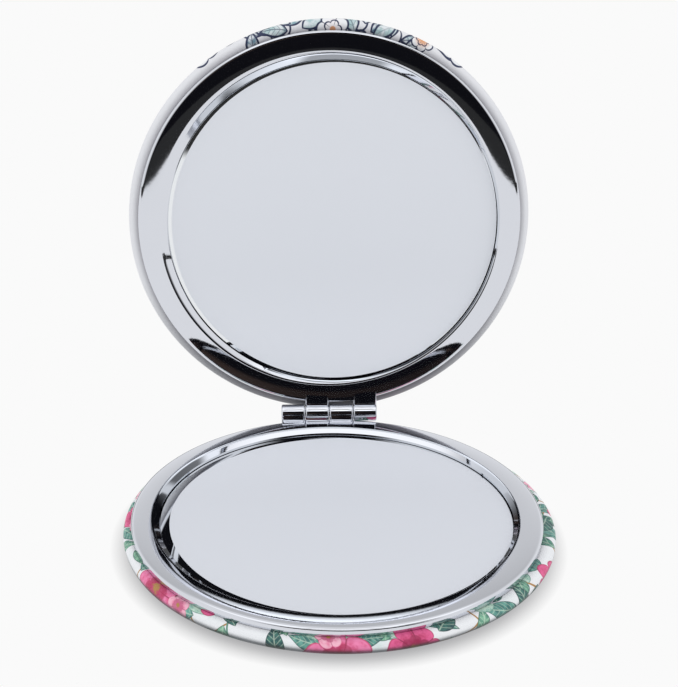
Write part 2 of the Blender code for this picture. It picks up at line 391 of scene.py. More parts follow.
# %% Table
TABLE_SIDE = 8.0
TABLE_CARD = (0.92, 0.92, 0.92)
SHADOW_REACH = 3.0 * MM
SHADOW_SAMPLES = 16
SHADOW_COLOUR = (0.36, 0.36, 0.37)
FALL_OFF = (0.47, 0.53)
FAR_TABLE = (0.03, 0.03, 0.03)

table_material = bpy.data.materials.new("white table")
table_material.use_nodes = True
table_material.node_tree.nodes.clear()
top = Wire(table_material.node_tree)
ray = top.node("ShaderNodeLightPath", output="Is Camera Ray")
glossy = ray.other("Is Glossy Ray")
open_sky = top.node(
    "ShaderNodeAmbientOcclusion", {"Distance": SHADOW_REACH}, output="AO", samples=SHADOW_SAMPLES
)
forwards = -1.0 * MM * own_place(top).axis("Y")
white = top.mix(glossy * forwards.step(*FALL_OFF), (BACKGROUND,) * 3, FAR_TABLE)
glow = top.node("ShaderNodeEmission", {"Color": top.mix(1 - open_sky, white, SHADOW_COLOUR)})
card = top.node("ShaderNodeBsdfDiffuse", {"Color": TABLE_CARD})
surface = top.node("ShaderNodeMixShader", {0: top.maths("MAXIMUM", ray, glossy), 1: card, 2: glow})
top.node("ShaderNodeOutputMaterial", {"Surface": surface})

built = bmesh.new()
bmesh.ops.create_grid(built, x_segments=1, y_segments=1, size=TABLE_SIDE / 2 / MM)
table = add_mesh("table", built, material=table_material)
print("table", TABLE_SIDE, "m square")

# %% [markdown]
# ## Turned sections
# Every round piece is turned from a section, a list of radius and depth. Rounded stretches come from an arc,
# so that chrome gets enough facets to reflect in one sweep. While it turns the section, the helper also lays
# a flat pattern over the piece: each point gets the place it would have if the skin were peeled off and laid
# flat, and how far it lies from the middle along the section.

# %% Lathe
TURN_STEPS = 256


def arc(centre, radii, start_deg, end_deg, steps):
    """Points of an elliptical arc as (radius, depth), angle 0 outwards and 90 degrees towards the leather."""
    points = []
    for step in range(steps + 1):
        angle = math.radians(start_deg + (end_deg - start_deg) * step / steps)
        points.append((centre[0] + radii[0] * math.cos(angle), centre[1] + radii[1] * math.sin(angle)))
    return points


def lathe(section, side, steps=TURN_STEPS):
    """Solid of revolution about Z, with its flat pattern. Side -1 lays depths downwards, side 1 upwards."""
    built = bmesh.new()
    pattern = built.verts.layers.float_vector.new("flat")
    rings, run, before = [], 0.0, section[0]
    for radius, depth in section:
        run += math.dist((radius, depth), before)
        before = (radius, depth)
        ring = []
        for step in range(steps if radius > 0 else 1):
            angle = math.tau * step / steps
            vert = built.verts.new((radius * math.cos(angle), radius * math.sin(angle), side * depth))
            vert[pattern] = (run * math.cos(angle), run * math.sin(angle), run)
            ring.append(vert)
        rings.append(ring)
    for inner, outer in zip(rings, rings[1:]):
        for step in range(steps):
            after = (step + 1) % steps
            corners = [inner[step % len(inner)], outer[step % len(outer)]]
            corners += [outer[after % len(outer)], inner[after % len(inner)]]
            built.faces.new(list(dict.fromkeys(corners)))
    return built


print("lathe ready,", TURN_STEPS, "steps a turn")

# %% [markdown]
# ## Polished chrome
# Chrome plate is a mirror with a cool tone. Perfectly even chrome looks like a computer's, so its roughness
# changes a little from place to place and a very shallow ripple bends the reflections, as stamping leaves it.

# %% Chrome
CHROME = (0.70, 0.72, 0.775)
CHROME_DIMMEST = 0.97
CHROME_ROUGHNESS = 0.025
CHROME_HAZE = 0.03
CLOUDS_PER_M = 120.0
SCRATCHES_PER_M = 2500.0
SCRATCH_STEP = (0.55, 0.8)
RIPPLE_DEPTH = 0.02 * MM
RIPPLE_STRENGTH = 0.25
RIPPLE_SCRATCHES = 0.15

chrome, shader, wire = new_material("chrome", metallic=1.0)
cloud = own_place(wire).noise(CLOUDS_PER_M, 3.0)
scratch = own_place(wire).noise(SCRATCHES_PER_M, 4.0)
roughness = CHROME_ROUGHNESS + CHROME_HAZE * cloud + CHROME_HAZE * scratch.step(*SCRATCH_STEP)
wire.connect(shader.inputs["Base Color"], wire.mix(cloud, CHROME, dimmed(CHROME, CHROME_DIMMEST)))
wire.connect(shader.inputs["Roughness"], roughness)
ripple = (cloud + RIPPLE_SCRATCHES * scratch).bump(RIPPLE_DEPTH, RIPPLE_STRENGTH)
wire.connect(shader.inputs["Normal"], ripple)
print("chrome ready, roughness from", CHROME_ROUGHNESS)

# %% [markdown]
# ## The pans
# Each pan is one stamping: a floor for the mirror, a pocket wall, a bevel, a domed brim and a lip that turns
# down over the leather's hem. The dome of the brim is what stretches the dark opening into a crescent. The
# pockets of the real pans are a little off centre, so the turned mesh is moved sideways inside the brim.

# %% Pans
SHEET = 0.40
MATING_GAP = 0.10
LIP_RADIUS = COVER_RADIUS - 1.70
LIP_RUN = 0.65
LIP_SLENDERNESS = 1.7
LIP_BOTTOM = MATING_GAP + 1.35
CROWN_RADIUS = LIP_RADIUS - 3.15
BRIM_FALL = 0.11
BRIM_INNER_RADIUS = LIP_RADIUS - 3.65
BRIM_STEPS = 12
LIP_STEPS = 16
INNER_ROUNDING = 0.90
POCKETS = {"base": (GLASS_RADIUS + 0.66, 0.62), "lid": (GLASS_RADIUS + 0.80, 0.80)}
FLOOR_TOP = GLASS_BACK + 0.40
OPENING_SHIFTS = {"base": (-0.25, 0.0), "lid": (0.0, 0.0)}
POCKET_SHIFTS = {"base": (-0.09, 0.0), "lid": (0.50, 0.46)}


def pan_section(pocket_radius, bevel_drop):
    """Pan floor, pocket wall, bevel, domed brim and rounded lip, then back along the sheet's underside."""
    bevel_deg = math.degrees(math.atan2(bevel_drop, BRIM_INNER_RADIUS - pocket_radius))
    setback = INNER_ROUNDING * math.tan(math.radians(bevel_deg / 2))
    inner_edge = arc(
        (BRIM_INNER_RADIUS + setback, MATING_GAP + INNER_ROUNDING),
        (INNER_ROUNDING, INNER_ROUNDING), -90 - bevel_deg, -90, BRIM_STEPS,
    )
    dome_run = LIP_RADIUS - LIP_RUN - CROWN_RADIUS
    dome_radius = (dome_run**2 + BRIM_FALL**2) / (2 * BRIM_FALL)
    dome_deg = math.degrees(math.asin(dome_run / dome_radius))
    dome_middle = (CROWN_RADIUS, MATING_GAP + dome_radius)
    dome = arc(dome_middle, (dome_radius, dome_radius), -90, -90 + dome_deg, BRIM_STEPS)
    start = math.atan(LIP_SLENDERNESS * math.tan(math.radians(dome_deg)))
    across = LIP_RUN / (1 - math.sin(start))
    down = across / LIP_SLENDERNESS
    lip_middle = (LIP_RADIUS - across, MATING_GAP + BRIM_FALL + down * math.cos(start))
    lip = arc(lip_middle, (across, down), -90 + math.degrees(start), 0, LIP_STEPS)
    slope = math.radians(bevel_deg)
    under_bevel = MATING_GAP + bevel_drop + SHEET / math.cos(slope) - SHEET * math.tan(slope)
    return [
        (0, FLOOR_TOP),
        (pocket_radius, FLOOR_TOP),
        (pocket_radius, MATING_GAP + bevel_drop),
        *inner_edge,
        *dome,
        *lip[1:],
        (LIP_RADIUS, LIP_BOTTOM),
        (LIP_RADIUS - SHEET, LIP_BOTTOM),
        (LIP_RADIUS - across, MATING_GAP + BRIM_FALL + SHEET),
        (CROWN_RADIUS, MATING_GAP + SHEET),
        (BRIM_INNER_RADIUS + SHEET * math.tan(slope / 2), MATING_GAP + SHEET),
        (pocket_radius + SHEET, under_bevel),
        (pocket_radius + SHEET, FLOOR_TOP + SHEET),
        (0, FLOOR_TOP + SHEET),
    ]


def off_centre(built, *moves):
    """Moves a turned piece sideways. Each move has a shift, the radii still and full, and a depth, the foot.

    The shift is none at the radius still and whole at the radius full, with a slope between. Inside the brim,
    all that lies deeper than the foot takes the whole shift, so a pocket's wall keeps its thickness.
    """
    for vert in built.verts:
        radius, depth = vert.co.xy.length, abs(vert.co.z)
        for shift, still, full, foot in moves:
            share = 1.0 if depth > foot and radius < CROWN_RADIUS else (radius - still) / (full - still)
            vert.co.xy += min(1.0, max(0.0, share)) * Vector(shift)
    return built


for half, (side, place) in HALVES.items():
    pocket_radius, bevel_drop = POCKETS[half]
    turned = lathe(pan_section(pocket_radius, bevel_drop), side)
    opening_shift = Vector(OPENING_SHIFTS[half])
    opening_move = (opening_shift, LIP_RADIUS - LIP_RUN, BRIM_INNER_RADIUS, math.inf)
    further = Vector(POCKET_SHIFTS[half]) - opening_shift
    pocket_move = (further, BRIM_INNER_RADIUS, pocket_radius, MATING_GAP + bevel_drop)
    pan = add_mesh(half + "_pan", off_centre(turned, opening_move, pocket_move), place, chrome)
    settle(pan, half, "frame", half + "_frame")

# %% [markdown]
# ## The hinge
# Four knuckles are rolled from tabs of the two pans, turn about, and one pin runs through them. Each is an
# outline drawn across the pin and drawn out along it, with its end edges rounded by a small bevel, and then
# it is bored. The tabs are drawn out in the same way. Their faces lie a hair inside those of the knuckles,
# because two faces in one plane would fight over which of them shows.

# %% Knuckles
KNUCKLE_COUNT = 4
KNUCKLE_LENGTH = 4.24
KNUCKLE_PITCH = 4.30
KNUCKLE_RADIUS = 1.55
KNUCKLE_STEPS = 48
KNUCKLE_EDGE = 0.30
KNUCKLE_EDGE_STEPS = 3
BORE_RADIUS = 0.58
BORE_OVERRUN = 0.5
WEB_ROOT = 2.0
WEB_TOP = MATING_GAP + 0.06
WEB_BOTTOM = MATING_GAP + 0.88
TAB_REACH = -0.35
TAB_INSET = 0.03
TAB_CHAMFER = 0.1
TAB_EDGE = 0.05
TAB_END_INSET = 0.1
HINGE_HALF_WIDTH = (KNUCKLE_LENGTH + (KNUCKLE_COUNT - 1) * KNUCKLE_PITCH) / 2
ROOT = LIP_RADIUS - WEB_ROOT - PIN.y / MM


def drawn_out(outline, side, left, length, edge):
    """An outline across the pin, extruded along it, with the edges of both ends rounded."""
    built = bmesh.new()
    first = built.faces.new([built.verts.new((left, across, -side * up)) for across, up in outline])
    grown = bmesh.ops.extrude_face_region(built, geom=[first])["geom"]
    moved = [part for part in grown if isinstance(part, bmesh.types.BMVert)]
    bmesh.ops.translate(built, verts=moved, vec=(length, 0, 0))
    ends = [line for line in built.edges if abs(line.verts[0].co.x - line.verts[1].co.x) < length / 2]
    bmesh.ops.bevel(
        built, geom=ends, offset=edge, segments=KNUCKLE_EDGE_STEPS, affect="EDGES", profile=0.5
    )
    return built


def knuckle(side, left):
    """Barrel, and the web that joins it to its pan."""
    start = 180 + math.degrees(math.asin(WEB_TOP / KNUCKLE_RADIUS))
    end = -180 + math.degrees(math.asin(WEB_BOTTOM / KNUCKLE_RADIUS))
    barrel = arc((0, 0), (KNUCKLE_RADIUS, KNUCKLE_RADIUS), start, end, KNUCKLE_STEPS)
    outline = [(ROOT, -WEB_TOP), *barrel, (ROOT, -WEB_BOTTOM)]
    return drawn_out(outline, side, left, KNUCKLE_LENGTH, KNUCKLE_EDGE)


def tab(side, left, length):
    """Flat of the sheet between the two knuckles of one pan, just short of its lip."""
    root, tip = ROOT + TAB_INSET, LIP_RADIUS + TAB_REACH - PIN.y / MM
    top, bottom = -WEB_TOP - TAB_INSET, -WEB_BOTTOM + TAB_INSET
    front = [(tip - TAB_CHAMFER, top), (tip, top - TAB_CHAMFER), (tip, bottom)]
    return drawn_out([(root, top), *front, (root, bottom)], side, left, length, TAB_EDGE)


def bored(made, left, place):
    """Cuts the pin's hole through a knuckle that begins at left."""
    drill = bmesh.new()
    middle = Matrix.Translation((left + KNUCKLE_LENGTH / 2, 0, 0)) @ Matrix.Rotation(math.pi / 2, 4, "Y")
    bmesh.ops.create_cone(
        drill, cap_ends=True, segments=KNUCKLE_STEPS, radius1=BORE_RADIUS, radius2=BORE_RADIUS,
        depth=KNUCKLE_LENGTH + 2 * BORE_OVERRUN, matrix=middle,
    )
    cutter = add_mesh("drill", drill, place)
    cut = made.modifiers.new("bore", "BOOLEAN")
    cut.object, cut.solver = cutter, "EXACT"
    bpy.context.view_layer.update()
    whole = made.data
    made.data = bpy.data.meshes.new_from_object(made.evaluated_get(bpy.context.evaluated_depsgraph_get()))
    made.modifiers.clear()
    made.data.name = whole.name
    made.data.shade_smooth()
    made.data.set_sharp_from_angle(angle=math.radians(SHARP_DEG))
    bpy.data.meshes.remove(whole)
    bpy.data.meshes.remove(cutter.data)


for index in range(KNUCKLE_COUNT):
    half = "base" if index % 2 == 0 else "lid"
    side, place = HALVES[half]
    left, seat = index * KNUCKLE_PITCH - HINGE_HALF_WIDTH, place @ Matrix.Translation((0, PIN.y, 0))
    made = add_mesh(f"{half}_knuckle_{index + 1}", knuckle(side, left), seat, chrome)
    bored(made, left, seat)
    settle(made, half, "frame", half + "_frame")

TAB_LENGTH = 2 * KNUCKLE_PITCH + KNUCKLE_LENGTH - 2 * TAB_END_INSET
for first, (half, (side, place)) in enumerate(HALVES.items()):
    built = tab(side, first * KNUCKLE_PITCH - HINGE_HALF_WIDTH + TAB_END_INSET, TAB_LENGTH)
    made = add_mesh(half + "_tab", built, place @ Matrix.Translation((0, PIN.y, 0)), chrome)
    settle(made, half, "frame", half + "_frame")

# %% [markdown]
# ## The mirrors
# In the photograph both mirrors are one plain pale tone, with no picture in them, while the chrome round them
# still shows what true mirrors throw back. So each is two pieces: silvered glass, which the chrome sees, and
# a satin face just above it, which the eye sees and reflections pass by. The face stops short of the glass's
# edge, so a thin ring of true mirror shows round it.

# %% Silvered glass
GLASS_BEVEL = 0.04
GLASS_PLAY = 0.15
SILVER = (0.80, 0.83, 0.86)
SILVER_PALE = (0.84, 0.86, 0.88)
SILVER_ROUGHNESS = (0.01, 0.02)
GRIND_PER_M = 900.0

silver, shader, wire = new_material("silvered_glass", metallic=1.0)
grind = own_place(wire).noise(GRIND_PER_M, 2.0)
wire.connect(shader.inputs["Base Color"], wire.mix(grind, SILVER, SILVER_PALE))
wire.connect(shader.inputs["Roughness"], SILVER_ROUGHNESS[0] + SILVER_ROUGHNESS[1] * grind)


def glass_section(radius):
    """Float-glass disc with a ground bevel round its face."""
    edge = [(radius - GLASS_BEVEL, GLASS_TOP), (radius, GLASS_TOP + GLASS_BEVEL), (radius, GLASS_BACK)]
    return [(0, GLASS_TOP), *edge, (0, GLASS_BACK)]


for half, (side, place) in HALVES.items():
    seat = place @ Matrix.Translation(Vector((*POCKET_SHIFTS[half], 0)) * MM)
    turned = lathe(glass_section(POCKETS[half][0] - GLASS_PLAY), side)
    glass = add_mesh(half + "_glass", turned, seat, silver, smooth_deg=SHARP_GLASS_DEG)
    settle(glass, half, "mirror", half + "_mirror")

# %% [markdown]
# The plain tone has to come out level, though the light on a face changes: the lid looks forwards and the
# base looks up, and each is a little darker near the hinge. The colour makes up for it, half by half, with a
# slow gradient.

# %% Mirror faces
FACE_GAP = 0.03
FACE_RADII = {"base": 27.79, "lid": 28.33}
FACE_SHIFTS = {"base": (0.66, -0.27), "lid": (0.80, 0.50)}
FACE_COLOURS = {"base": (0.690, 0.711, 0.761), "lid": (0.757, 0.780, 0.828)}
FACE_GAIN = 1.08
FACE_GAIN_REACH = (6, 27)
FACE_HAZE = 0.99
FACE_HAZE_PER_MM = 0.03


def face_section(radius):
    """Very thin disc that lies on the glass."""
    top, bottom = GLASS_TOP - FACE_GAP, GLASS_TOP - FACE_GAP / 2
    return [(0, top), (radius, top), (radius, bottom), (0, bottom)]


for half, (side, place) in HALVES.items():
    satin, shader, wire = new_material(half + "_mirror_face", roughness=0.35, Specular_IOR_Level=0.0)
    flat = wire.node("ShaderNodeAttribute", output="Vector", attribute_name="flat")
    tone = FACE_COLOURS[half]
    plain = wire.mix(flat.noise(FACE_HAZE_PER_MM, 2.0), tone, dimmed(tone, FACE_HAZE))
    towards_hinge = flat.axis("Y").step(*FACE_GAIN_REACH)
    wire.connect(shader.inputs["Base Color"], wire.mix(towards_hinge, plain, dimmed(tone, FACE_GAIN)))
    seat = place @ Matrix.Translation(Vector((*FACE_SHIFTS[half], 0)) * MM)
    turned = lathe(face_section(FACE_RADII[half]), side)
    face = add_mesh(half + "_mirror_face", turned, seat, satin, smooth_deg=SHARP_GLASS_DEG)
    face.visible_glossy = False
    settle(face, half, "mirror")

# %% [markdown]
# ## Leather
# The covers are printed leatherette, wrapped over a thin foam and held by the lip. A print is laid on flat
# stock before it is wrapped, so it is drawn on the flat pattern and not on the finished shape.

# %% Leather section
LEATHER = 0.60
HEM_TOP = LIP_BOTTOM + 0.10
HEM_EDGE = LIP_RADIUS - 1.60
COVER_EDGE_RUN = 6.00
WIDEST_SHARE = 0.315
WIDEST_DEPTH = HEM_TOP + WIDEST_SHARE * (HALF_THICKNESS - HEM_TOP)
FACE_ROWS = 6
OUTER_STEPS = (20, 12)
INNER_STEPS = (6, 10)
GRAIN_DEPTH = 0.05 * MM
GRAIN_STRENGTH = 0.35
GRAIN_CELLS_PER_MM = 2.2
GRAIN_FINE_PER_MM = 6.0
GRAIN_SOFT_PER_MM = 0.35


def leather_section():
    """Leather shell from the middle of its face, over the rim to the hem, and back along its inside."""
    rim = (LIP_RADIUS, WIDEST_DEPTH)
    bulge = COVER_RADIUS - LIP_RADIUS
    face = (COVER_RADIUS - COVER_EDGE_RUN, WIDEST_DEPTH)
    down, up = HALF_THICKNESS - WIDEST_DEPTH, WIDEST_DEPTH - HEM_TOP
    outer_lower = arc(face, (COVER_EDGE_RUN, down), 90, 0, OUTER_STEPS[0])
    outer_upper = arc(rim, (bulge, up), 0, -90, OUTER_STEPS[1])
    inner_upper = arc(rim, (bulge - LEATHER, up - LEATHER), -90, 0, INNER_STEPS[0])
    inner_lower = arc(face, (COVER_EDGE_RUN - LEATHER, down - LEATHER), 0, 90, INNER_STEPS[1])
    rows = [(face[0] * row / FACE_ROWS, HALF_THICKNESS) for row in range(FACE_ROWS)]
    return [
        *rows,
        *outer_lower,
        *outer_upper[1:],
        (HEM_EDGE, HEM_TOP),
        (HEM_EDGE, HEM_TOP + LEATHER),
        *inner_upper,
        *inner_lower[1:],
        (0, HALF_THICKNESS - LEATHER),
    ]


def grain(flat):
    """Bump of pressed leather grain: small cells with soft valleys, over a gentle unevenness."""
    settings = {"Vector": flat, "Scale": GRAIN_CELLS_PER_MM, "Randomness": 1.0}
    cells = flat.node("ShaderNodeTexVoronoi", settings, feature="SMOOTH_F1")
    height = 0.6 * cells + 0.3 * flat.noise(GRAIN_FINE_PER_MM, 3.0) + 0.8 * flat.noise(GRAIN_SOFT_PER_MM, 2.0)
    return height.bump(GRAIN_DEPTH, GRAIN_STRENGTH)


print("leather grain ready, cover", round(HALF_THICKNESS - HEM_TOP, 2), "mm deep")

# %% [markdown]
# ## Motifs for the prints
# Both prints are made of leaves and flowers. A motif is a formula for how far a point lies inside an outline;
# a cell pattern then strews copies of it, each turned at random. Strewing and turning come first, so each
# motif is only ever drawn once, about its own middle. All lengths are millimetres on the flat pattern.

# %% Strewn copies
SRGB_FOOT = 0.04


def paint(red, green, blue):
    """A colour given in the 0 to 255 steps of a paint chart, as the linear light that shaders use."""
    shares = (red / 255, green / 255, blue / 255)
    return tuple(share / 12.92 if share < SRGB_FOOT else ((share + 0.055) / 1.055) ** 2.4 for share in shares)


def strewn(flat, spacing, shift, spread):
    """Place about the nearest copy's middle, turned at random, with a chance from 0 to 1 and that middle."""
    moved = flat.vector("ADD", (*shift, 0.0))
    settings = {"Vector": moved, "Scale": 1 / spacing, "Randomness": spread}
    middle = flat.node("ShaderNodeTexVoronoi", settings, output="Position", voronoi_dimensions="2D")
    chances = flat.node("ShaderNodeSeparateColor", {"Color": middle.other("Color")})
    turn = {"Vector": moved.vector("SUBTRACT", middle), "Angle": math.tau * chances}
    turned = flat.node("ShaderNodeVectorRotate", turn, rotation_type="Z_AXIS")
    return turned, chances.other("Green"), middle.vector("SUBTRACT", (*shift, 0.0))


print("paint white is", [round(part, 2) for part in paint(255, 255, 255)])

# %% [markdown]
# A leaf is the space between two parabolas, fuller near its stalk, with side veins that slant back from the
# midrib. A flower's outline goes in and out with the angle, once for each petal. Stripes of all kinds come
# from a ping-pong, which goes up and down evenly; a start is added so that its input never falls below zero.

# %% Leaf and flower
LEAF_BOW = 0.10
LEAF_TAPER = 0.35
LEAF_TIP = 0.2
VEIN_SLANT = 0.9
VEIN_PITCH = 0.45
VEIN_START = 50.0
MIDRIB_EDGE = (0.14, 0.05)
VEIN_EDGE = (0.14, 0.04)
PETAL_DIP = 0.28
ROSETTE = 0.40
ROSETTE_BULGE = 0.16
CREASE_EDGE = (0.16, 0.02)
CREASE_START = (0.12, 0.30)


def leaf(local, length, width):
    """How far inside a pointed leaf along X a point lies, and its veins: 1 on a vein, 0 between them."""
    along = local.axis("X")
    share = along * (2 / length)
    bowed = along.other("Y") - LEAF_BOW * width * share * share
    fuller = local.maths("MAXIMUM", 1 - LEAF_TAPER * share, LEAF_TIP)
    inside = width / 2 * (1 - share * share) * fuller - abs(bowed)
    stripe = local.maths("PINGPONG", along - VEIN_SLANT * abs(bowed) + VEIN_START, VEIN_PITCH)
    veins = local.maths("MAXIMUM", abs(bowed).step(*MIDRIB_EDGE), 0.7 * stripe.step(*VEIN_EDGE))
    return inside, veins


def flower(local, radius, petals):
    """How far out a point lies, how far inside the outline, the creases between petals, and the rosette."""
    along = local.axis("X")
    wave = local.maths("ARCTAN2", along.other("Y"), along) * (petals / 2)
    lobe, between = abs(local.maths("COSINE", wave)), abs(local.maths("SINE", wave))
    far = local.vector("LENGTH", output="Value") / radius
    outline = 1 - PETAL_DIP + PETAL_DIP * local.maths("POWER", lobe, 0.5) - far
    crease = lobe.step(*CREASE_EDGE) * far.step(*CREASE_START)
    rosette = ROSETTE + ROSETTE_BULGE * local.maths("POWER", between, 0.6) - far
    return far, outline, crease, rosette


print("motifs ready, veins", VEIN_PITCH * 2, "mm apart")

# %% [markdown]
# ## The base's print
# White leatherette with flowers in pinks and reds between green and teal leaves, on fine gold stems: a
# generic garden pattern in the colours of the photograph. Layers go on as a printer would lay them, pale wash
# first and flowers last. Each leaf layer says its spacing, shift, length, width and two greens, and each
# flower layer its spacing, shift, radius, petals, the share of copies left out and two pinks.

# %% Base print
PAPER = paint(237, 239, 242)
WASH = paint(190, 222, 214)
VEIN_GREEN = paint(206, 228, 206)
GOLD_INK = paint(176, 132, 74)
STEM_BEND = 8.0
STEM_START = 90.0
STEM_EDGE = (0.26, 0.14)
BASE_STEMS = (
    ((0.94, 0.34), 6.5, GOLD_INK),
    ((-0.30, 0.95), 7.5, GOLD_INK),
    ((0.60, -0.80), 9.0, paint(96, 146, 128)),
)
BASE_LEAVES = (
    (9.6, (3.0, 1.0), 7.2, 3.2, (38, 84, 84), (84, 150, 128)),
    (8.2, (-4.0, 6.5), 6.0, 2.6, (70, 128, 112), (140, 196, 164)),
    (10.4, (8.0, -3.5), 7.6, 3.2, (52, 106, 104), (110, 172, 158)),
    (8.0, (1.5, -9.0), 5.0, 2.0, (120, 176, 160), (196, 224, 208)),
    (10.0, (-7.5, -5.0), 6.5, 3.0, (34, 72, 78), (74, 130, 118)),
)
BASE_FLOWERS = (
    (16.0, (2.0, 5.5), 5.4, 5, 0.20, (206, 52, 104), (240, 132, 178)),
    (18.0, (-9.0, 1.5), 4.4, 6, 0.25, (178, 34, 88), (230, 96, 150)),
    (12.0, (5.0, -8.0), 2.4, 5, 0.25, (224, 104, 148), (246, 184, 204)),
)


def base_print(flat):
    """Colour of the base's print at a place of the flat pattern."""
    colour = flat.mix(0.55 * flat.noise(0.10, 3.0).step(0.52, 0.72), PAPER, WASH)
    along = flat.axis("X")
    bend = STEM_BEND * flat.noise(0.09, 1.0)
    for course, pitch, ink in BASE_STEMS:
        across = course[0] * along + course[1] * along.other("Y") + bend
        stem = flat.maths("PINGPONG", across + STEM_START, pitch)
        colour = flat.mix(stem.step(*STEM_EDGE), colour, ink)
    speckle = flat.noise(1.1, 3.0)
    for spacing, shift, length, width, dark, light in BASE_LEAVES:
        local, chance, _ = strewn(flat, spacing, shift, 0.35)
        inside, veins = leaf(local, length, width)
        green = flat.mix(0.75 * speckle.step(0.38, 0.62) + 0.25 * chance, paint(*dark), paint(*light))
        green = flat.mix(0.55 * veins, green, VEIN_GREEN)
        green = flat.mix(inside.step(0.30, 0.06), green, paint(*dimmed(dark, 0.8)))
        colour = flat.mix(inside.step(0.0, 0.12), colour, green)
    for spacing, shift, radius, petals, left_out, deep, pale in BASE_FLOWERS:
        local, chance, _ = strewn(flat, spacing, shift, 0.30)
        far, outline, crease, rosette = flower(local, radius, petals)
        petal = flat.mix((0.5 * far + speckle - 0.25).step(0.20, 0.75), paint(*deep), paint(*pale))
        petal = flat.mix(0.8 * crease, petal, paint(*dimmed(deep, 0.72)))
        petal = flat.mix(outline.step(0.09, 0.02), petal, paint(*deep))
        petal = flat.mix(0.7 * rosette.step(0.0, 0.05), petal, paint(*dimmed(deep, 0.85)))
        petal = flat.mix((far + 0.4 * speckle).step(0.42, 0.30), petal, GOLD_INK)
        printed = outline.step(0.0, 0.04) * chance.step(left_out, left_out + 0.01)
        colour = flat.mix(printed, colour, petal)
    return colour


print("base print:", len(BASE_LEAVES), "leaf layers,", len(BASE_FLOWERS), "flower layers")

# %% [markdown]
# ## The lid's print
# The lid is plain white but for one spray of line work that reaches the free edge: navy outlines and curls
# with pale teal and apricot fills. A copy is kept or dropped as a whole, by where its middle is, so nothing
# is cut through. The layers say the same as the base's, with one tone each and no share left out.

# %% Lid print
# Painted shade: the lid's white ground is a darker copy of the base's paper, because the lid faces forwards and
# gets less light.
SHADED_LID_PAPER = paint(228, 229, 233)
NAVY = paint(40, 50, 84)
APRICOT = paint(226, 160, 112)
SPRAY_MIDDLE = (0.0, -12.0, 0.0)
SPRAY_REACH = 27.4
CURLS = (7.0, (3.5, 2.0), 0.25)
CURL_TURNS_PER_MM = 0.55
CURL_START = 4.0
CURL_EDGE = (0.13, 0.07)
CURL_END = (2.7, 2.5)
LID_LEAVES = (
    (5.4, (2.0, 3.0), 4.8, 2.6, (132, 168, 178)),
    (4.8, (-5.0, 1.0), 4.2, 2.2, (196, 216, 220)),
    (6.0, (4.5, -6.0), 5.2, 2.8, (104, 142, 160)),
    (6.8, (-2.0, -4.0), 5.6, 3.0, (170, 198, 200)),
)
LID_FLOWERS = ((10.5, (1.0, -2.5), 3.4, 5, (242, 238, 240)), (9.0, (-6.0, 7.0), 2.4, 6, (226, 170, 134)))


def kept(middle):
    """1 for a copy whose middle lies in the spray, and 0 for the others."""
    away = middle.vector("SUBTRACT", SPRAY_MIDDLE).vector("LENGTH", output="Value")
    return away.step(SPRAY_REACH, SPRAY_REACH - 0.01)


def lid_print(flat):
    """Colour of the lid's print at a place of the flat pattern."""
    local, _, middle = strewn(flat, *CURLS)
    along = local.axis("X")
    far = local.vector("LENGTH", output="Value")
    turns = flat.maths("ARCTAN2", along.other("Y"), along) / math.tau
    coil = flat.maths("PINGPONG", far * CURL_TURNS_PER_MM - turns + CURL_START, 0.5)
    colour = flat.mix(coil.step(*CURL_EDGE) * far.step(*CURL_END) * kept(middle), SHADED_LID_PAPER, NAVY)
    speckle = flat.noise(0.7, 3.0)
    for spacing, shift, length, width, tone in LID_LEAVES:
        local, chance, middle = strewn(flat, spacing, shift, 0.30)
        inside, veins = leaf(local, length, width)
        fill = flat.mix(0.8 * speckle.step(0.35, 0.65), paint(*tone), PAPER)
        fill = flat.mix(0.75 * veins * chance.step(0.3, 0.5), fill, NAVY)
        fill = flat.mix(inside.step(0.56, 0.38), fill, NAVY)
        colour = flat.mix(inside.step(0.0, 0.10) * kept(middle), colour, fill)
    for spacing, shift, radius, petals, tone in LID_FLOWERS:
        local, _, middle = strewn(flat, spacing, shift, 0.25)
        far, outline, crease, rosette = flower(local, radius, petals)
        fill = flat.mix(far.step(0.2, 0.8), paint(*tone), PAPER)
        fill = flat.mix(0.9 * crease, fill, NAVY)
        fill = flat.mix(rosette.step(0.0, 0.03) * rosette.step(0.12, 0.08), fill, NAVY)
        fill = flat.mix(far.step(0.20, 0.14), fill, APRICOT)
        fill = flat.mix(outline.step(0.16, 0.10), fill, NAVY)
        colour = flat.mix(outline.step(0.0, 0.03) * kept(middle), colour, fill)
    return colour


print("lid print: spray", 2 * SPRAY_REACH, "mm across")

# %% [markdown]
# ## Printed covers
# The print goes under the same pressed grain, and rubbing leaves the skin a little glossier in places. Shade is
# painted into its colour: it darkens towards the hem, where it tucks under the lip, most of all on the lid
# beside the hinge, and below its widest line the base's skin carries a painted contact shadow. All these
# painted shades follow the run, which is how far a point lies from the middle of the cover along its skin.

# %% Covers
LEATHER_ROUGHNESS = (0.36, 0.14)
RUB_PER_MM = 0.5
WHITE = (1.0, 1.0, 1.0)
# Painted shade towards the hem and beside the lid's hinge, and a painted contact shadow under the base's rim.
HEM_RUN = (36.8, 38.6)
HEM_PAINTED_SHADE = {"base": (0.82, 0.81, 0.82), "lid": (0.52, 0.51, 0.53)}
HINGE_RUN = (35.8, 36.8)
HINGE_REACH = (8, 36)
HINGE_PAINTED_SHADE = {"base": WHITE, "lid": (0.30, 0.30, 0.31)}
UNDER_RUN = (36.3, 35.4)
UNDER_PAINTED_SHADOW = {"base": (0.16, 0.17, 0.18), "lid": WHITE}
PRINTS = {"base": base_print, "lid": lid_print}
COVER_SHIFTS = {"base": (0.42, 0.0), "lid": (0.0, 0.0)}

